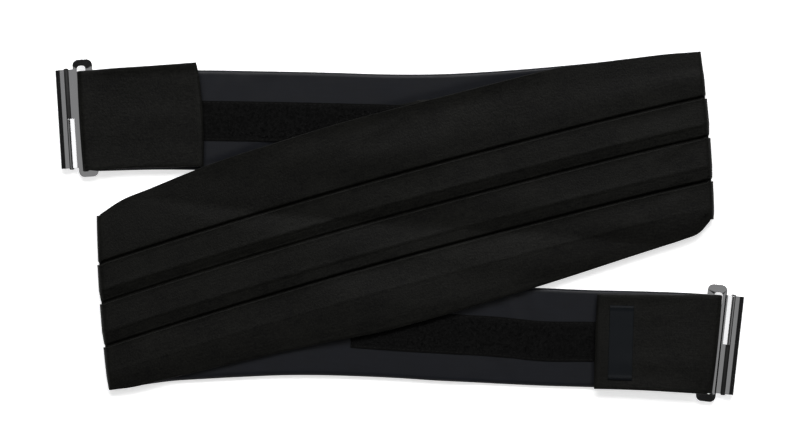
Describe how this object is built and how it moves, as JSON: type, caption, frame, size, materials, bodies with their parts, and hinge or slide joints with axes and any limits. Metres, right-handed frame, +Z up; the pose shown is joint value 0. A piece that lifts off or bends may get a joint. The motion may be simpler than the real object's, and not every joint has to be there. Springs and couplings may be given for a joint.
{
  "type": "pleated waist sash",
  "caption": "Pleated satin waist sash folded flat into a Z, with adjustable straps, loop tapes, turned-back tabs and hooked metal clasp halves.",
  "frame": {"origin": "on the floor, under the middle of the folded sash", "axes": "+X to the right along the folded sash as seen from above, +Y away from the reader's edge, +Z up from the floor"},
  "size_m": [0.404, 0.2052, 0.009],
  "materials": {
    "satin": "black satin weave, soft sheen",
    "lining": "blue-black lining satin, smoother sheen",
    "tape": "black loop tape, matt pile",
    "label": "dark navy woven ribbon, bare",
    "metal": "polished",
    "dark_metal": "blackened"
  },
  "bodies": {
    "root": {"pleated_front": "satin", "lining": "lining", "left_strap": "satin", "right_strap": "satin", "left_loop_tape": "tape", "right_loop_tape": "tape", "left_hook_patch": "tape", "right_hook_patch": "tape", "label": "label", "left_clasp": "metal", "right_clasp": "metal", "left_clasp_pin": "dark_metal", "right_clasp_pin": "dark_metal"}
  },
  "joints": []
}
